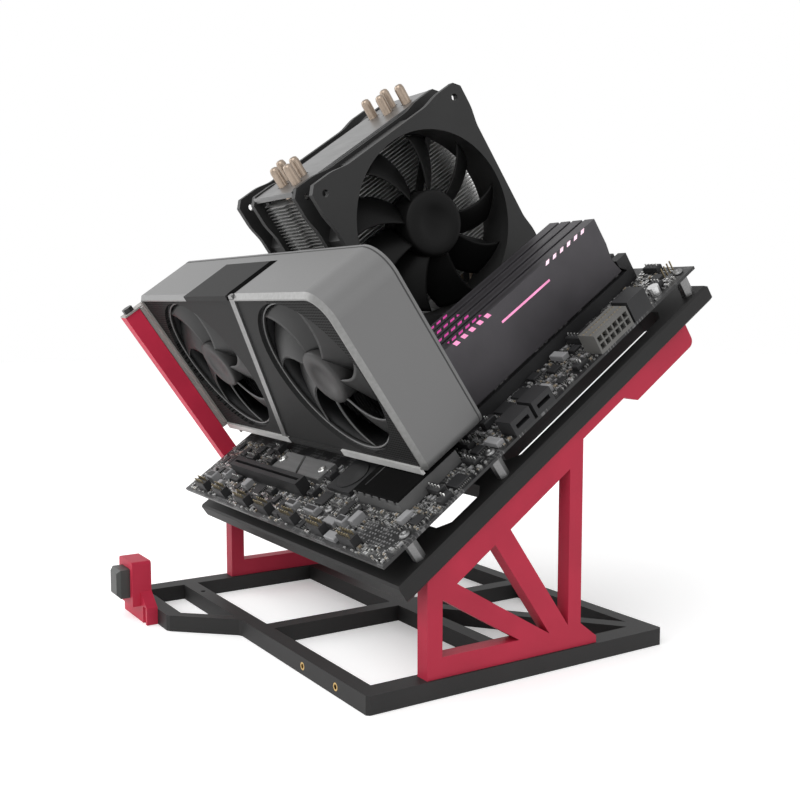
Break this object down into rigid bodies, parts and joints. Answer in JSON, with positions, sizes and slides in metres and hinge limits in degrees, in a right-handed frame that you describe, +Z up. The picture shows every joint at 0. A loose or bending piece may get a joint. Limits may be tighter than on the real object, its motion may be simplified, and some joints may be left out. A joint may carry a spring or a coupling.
{
  "type": "open air test bench",
  "caption": "Open air test bench: flat base frame and truss brackets hold a tilted tray with a main board, graphics card, tower cooler with fans, memory and a power button.",
  "frame": {"origin": "on the floor below the crossing of the base's two inner bars, at the middle of its rectangle", "axes": "+X right along the front bar, +Y towards the back where the tray is high, +Z up"},
  "size_m": [0.2682, 0.275, 0.3206],
  "materials": {
    "black_print": "printed, satin",
    "red_print": "printed, satin",
    "black_button": "moulded",
    "brass_insert": "turned",
    "standoff_metal": "turned",
    "board_black": "solder mask",
    "socket_steel": "stamped",
    "connector_black": "moulded",
    "spreader_black": "anodised",
    "light_pink": "lit diffuser",
    "heatsink_dark": "anodised",
    "port_steel": "stamped",
    "socket_grey": "moulded",
    "capacitor_metal": "can",
    "cooler_metal": "satin",
    "pipe_metal": "plated",
    "fin_metal": "stamped",
    "fan_black": "moulded",
    "card_silver": "bead blasted",
    "card_dark": "moulded",
    "card_fan": "moulded",
    "screw_black": "black oxide"
  },
  "bodies": {
    "bench": {"base_frame": "black_print", "board_tray": "black_print", "right_bracket": "red_print", "left_bracket": "red_print", "card_post": "red_print", "button_housing": "red_print", "button_switch": "black_button", "front_inserts": "brass_insert", "board_standoffs": "standoff_metal", "main_board": "board_black", "cpu_socket": "socket_steel", "processor": "socket_steel", "memory_slots": "connector_black", "memory_latches": "connector_black", "memory_boards": "board_black", "memory_spreaders": "spreader_black", "memory_lights": "light_pink", "card_slots": "connector_black", "chipset_heatsink": "heatsink_dark", "drive_cover": "heatsink_dark", "side_heatsink": "heatsink_dark", "top_heatsink": "heatsink_dark", "usb_ports": "port_steel", "sound_jacks": "connector_black", "main_power_socket": "socket_grey", "usb_header": "connector_black", "sata_ports": "connector_black", "cpu_power_socket": "connector_black", "pin_headers": "connector_black", "capacitors": "capacitor_metal", "chokes": "heatsink_dark", "coin_cell": "port_steel", "cell_holder": "connector_black", "cooler_base": "cooler_metal", "cooler_arch": "socket_steel", "heat_pipes": "pipe_metal", "fin_stack": "fin_metal", "cooler_top_plate": "cooler_metal", "front_fan_frame": "fan_black", "rear_fan_frame": "fan_black", "card_frame": "card_silver", "card_caps": "card_dark", "card_panel": "card_dark", "card_heatsink": "heatsink_dark", "card_board": "board_black", "card_back_cover": "card_silver", "card_bracket": "socket_steel", "card_ports": "connector_black", "card_screw": "screw_black"},
    "front_fan": {"front_fan_rotor": "fan_black"},
    "rear_fan": {"rear_fan_rotor": "fan_black"},
    "left_card_fan": {"card_fan_left": "card_fan"},
    "right_card_fan": {"card_fan_right": "card_fan"},
    "button": {"power_button": "black_button"}
  },
  "joints": [
    {"name": "front_fan_spin", "type": "hinge", "parent": "bench", "child": "front_fan", "pos_m": [0, 0.01883, 0.23488], "axis": [1, 0, 0], "continuous": true},
    {"name": "rear_fan_spin", "type": "hinge", "parent": "bench", "child": "rear_fan", "pos_m": [-0.0785, 0.01883, 0.23488], "axis": [1, 0, 0], "continuous": true},
    {"name": "left_card_fan_spin", "type": "hinge", "parent": "bench", "child": "left_card_fan", "pos_m": [-0.0844, -0.07514, 0.1529], "axis": [0, -0.8192, -0.5736], "continuous": true},
    {"name": "right_card_fan_spin", "type": "hinge", "parent": "bench", "child": "right_card_fan", "pos_m": [0.0514, -0.07514, 0.1529], "axis": [0, -0.8192, -0.5736], "continuous": true},
    {"name": "button_press", "type": "slide", "parent": "bench", "child": "button", "axis": [0, 1, 0], "range_m": [0, 0.0018], "stiffness_N_per_m": 600}
  ]
}
